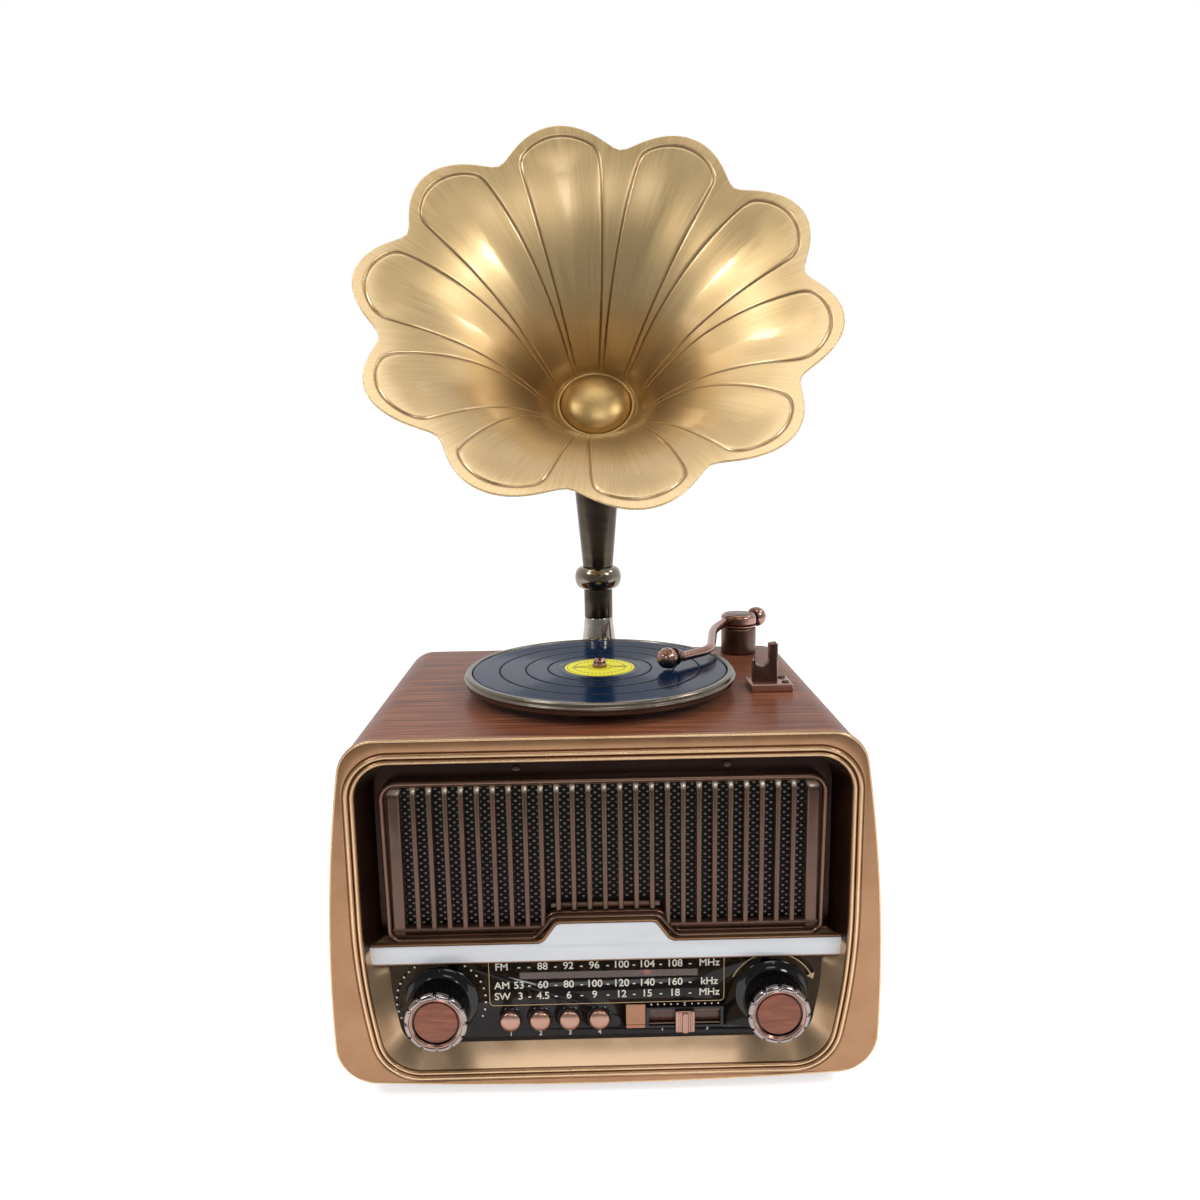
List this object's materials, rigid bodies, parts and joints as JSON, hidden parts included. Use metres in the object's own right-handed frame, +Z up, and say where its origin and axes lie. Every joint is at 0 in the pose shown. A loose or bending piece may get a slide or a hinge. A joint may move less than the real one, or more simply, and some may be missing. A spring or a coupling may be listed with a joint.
{
  "type": "radiogram",
  "caption": "Tabletop radio and record player in a bowed wooden cabinet with a bronze bezel, louvred grille, round knobs and a petal-shaped horn over the turntable.",
  "frame": {"origin": "centre of the footprint of the whole object, on the surface the feet stand on", "axes": "+Z up, the front with the grille and the knobs faces -Y, +X to the right seen from the front"},
  "size_m": [0.262, 0.1946, 0.4827],
  "materials": {
    "wood": "satin lacquer",
    "bronze": "metallic paint, satin",
    "grille_brown": "metallic paint, satin",
    "mesh_black": "satin black",
    "silver_trim": "polished",
    "panel_black": "gloss",
    "beige_plastic": "satin",
    "amber_lens": "tinted",
    "pointer_amber": "gloss",
    "steel": "bright",
    "cord": "woven",
    "knob_black": "gloss",
    "knob_chrome": "bright",
    "copper": "brushed copper colour",
    "grey_metal": "satin",
    "slider_brown": "satin",
    "circuit_board": "gloss",
    "ferrite": "matt",
    "black_plastic": "satin",
    "foot_rubber": "matt",
    "nickel": "warm, polished",
    "record_vinyl": "grooved gloss",
    "label_paper": "satin",
    "bearing_brass": "turned",
    "arm_bronze": "dark bronze, polished",
    "arm_copper": "copper colour, polished",
    "horn_brass": "brushed champagne",
    "neck_bronze": "gunmetal, polished"
  },
  "bodies": {
    "cabinet": {"cabinet_shell": "wood", "front_bezel": "bronze", "recess_liner": "bronze", "grille_frame": "grille_brown", "louvre_panel": "grille_brown", "grille_mesh": "mesh_black", "trim_bar": "silver_trim", "control_panel": "panel_black", "mode_window": "beige_plastic", "dial_lens": "amber_lens", "pointer_rail": "steel", "dial_cord": "cord", "volume_control": "grey_metal", "tuning_capacitor": "grey_metal", "selector_switch": "slider_brown", "control_board": "circuit_board", "speakers": "grey_metal", "main_board": "circuit_board", "ferrite_aerial": "ferrite", "power_inlet": "black_plastic", "audio_jack": "black_plastic", "rear_cover": "wood", "case_screws": "steel", "feet": "foot_rubber", "main_bearing": "bearing_brass", "drive_motor": "grey_metal", "drive_belt": "foot_rubber", "tonearm_pedestal": "arm_bronze", "arm_rest": "arm_bronze", "neck_socket": "grey_metal"},
    "turntable": {"platter": "nickel", "record": "record_vinyl", "record_label": "label_paper", "spindle": "steel", "spindle_cap": "copper"},
    "motor_rotor": {"motor_pulley": "steel"},
    "arm_swivel": {"tonearm_swivel": "steel"},
    "arm": {"tonearm_cap": "arm_copper", "tonearm_tube": "arm_copper", "tonearm_counterweight": "arm_copper", "sound_box": "arm_copper"},
    "volume": {"volume_knob": "knob_black", "volume_knob_ring": "knob_chrome", "volume_knob_insert": "copper", "volume_shaft": "steel"},
    "tuning": {"tuning_knob": "knob_black", "tuning_knob_ring": "knob_chrome", "tuning_knob_insert": "copper", "tuning_shaft": "steel"},
    "pointer": {"dial_pointer": "pointer_amber"},
    "push_1": {"button_1": "copper"},
    "push_2": {"button_2": "copper"},
    "push_3": {"button_3": "copper"},
    "push_4": {"button_4": "copper"},
    "selector": {"selector_slider": "slider_brown"},
    "horn": {"horn_bell": "horn_brass", "throat_ring": "horn_brass", "throat_dome": "horn_brass", "horn_elbow": "neck_bronze", "horn_neck": "neck_bronze"}
  },
  "joints": [
    {"name": "platter_spin", "type": "hinge", "parent": "cabinet", "child": "turntable", "pos_m": [0, -0.0014, 0.19], "axis": [0, 0, 1], "continuous": true},
    {"name": "motor_spin", "type": "hinge", "parent": "cabinet", "child": "motor_rotor", "pos_m": [-0.058, -0.0014, 0.15], "axis": [0, 0, 1], "continuous": true},
    {"name": "tonearm_swing", "type": "hinge", "parent": "cabinet", "child": "arm_swivel", "pos_m": [0.088, 0.0759, 0.2], "axis": [0, 0, 1], "range_deg": [-10, 21]},
    {"name": "tonearm_lift", "type": "hinge", "parent": "arm_swivel", "child": "arm", "pos_m": [0.088, 0.0759, 0.2011], "axis": [-0.8553, 0.5182, 0], "range_deg": [0, 4]},
    {"name": "volume_turn", "type": "hinge", "parent": "cabinet", "child": "volume", "pos_m": [-0.0805, -0.0891, 0.0461], "axis": [0, 1, 0], "range_deg": [-150, 150]},
    {"name": "tuning_turn", "type": "hinge", "parent": "cabinet", "child": "tuning", "pos_m": [0.0805, -0.0891, 0.0461], "axis": [0, 1, 0], "range_deg": [-200, 75]},
    {"name": "pointer_slide", "type": "slide", "parent": "cabinet", "child": "pointer", "axis": [1, 0, 0], "range_m": [-0.058, 0.022]},
    {"name": "button_press_1", "type": "slide", "parent": "cabinet", "child": "push_1", "axis": [0, 1, 0], "range_m": [0, 0.0012], "stiffness_N_per_m": 400, "springref_m": -0.0005},
    {"name": "button_press_2", "type": "slide", "parent": "cabinet", "child": "push_2", "axis": [0, 1, 0], "range_m": [0, 0.0012], "stiffness_N_per_m": 400, "springref_m": -0.0005},
    {"name": "button_press_3", "type": "slide", "parent": "cabinet", "child": "push_3", "axis": [0, 1, 0], "range_m": [0, 0.0012], "stiffness_N_per_m": 400, "springref_m": -0.0005},
    {"name": "button_press_4", "type": "slide", "parent": "cabinet", "child": "push_4", "axis": [0, 1, 0], "range_m": [0, 0.0012], "stiffness_N_per_m": 400, "springref_m": -0.0005},
    {"name": "selector_slide", "type": "slide", "parent": "cabinet", "child": "selector", "axis": [1, 0, 0], "range_m": [-0.011, 0.011]},
    {"name": "horn_turn", "type": "hinge", "parent": "cabinet", "child": "horn", "pos_m": [0.001, 0.0829, 0.2], "axis": [0, 0, 1], "range_deg": [-30, 30]}
  ],
  "couplings": [
    {"joint": "pointer_slide", "follows": "tuning_turn", "m_per_rad": 0.01645},
    {"joint": "motor_spin", "follows": "platter_spin", "ratio": 4.3333}
  ]
}
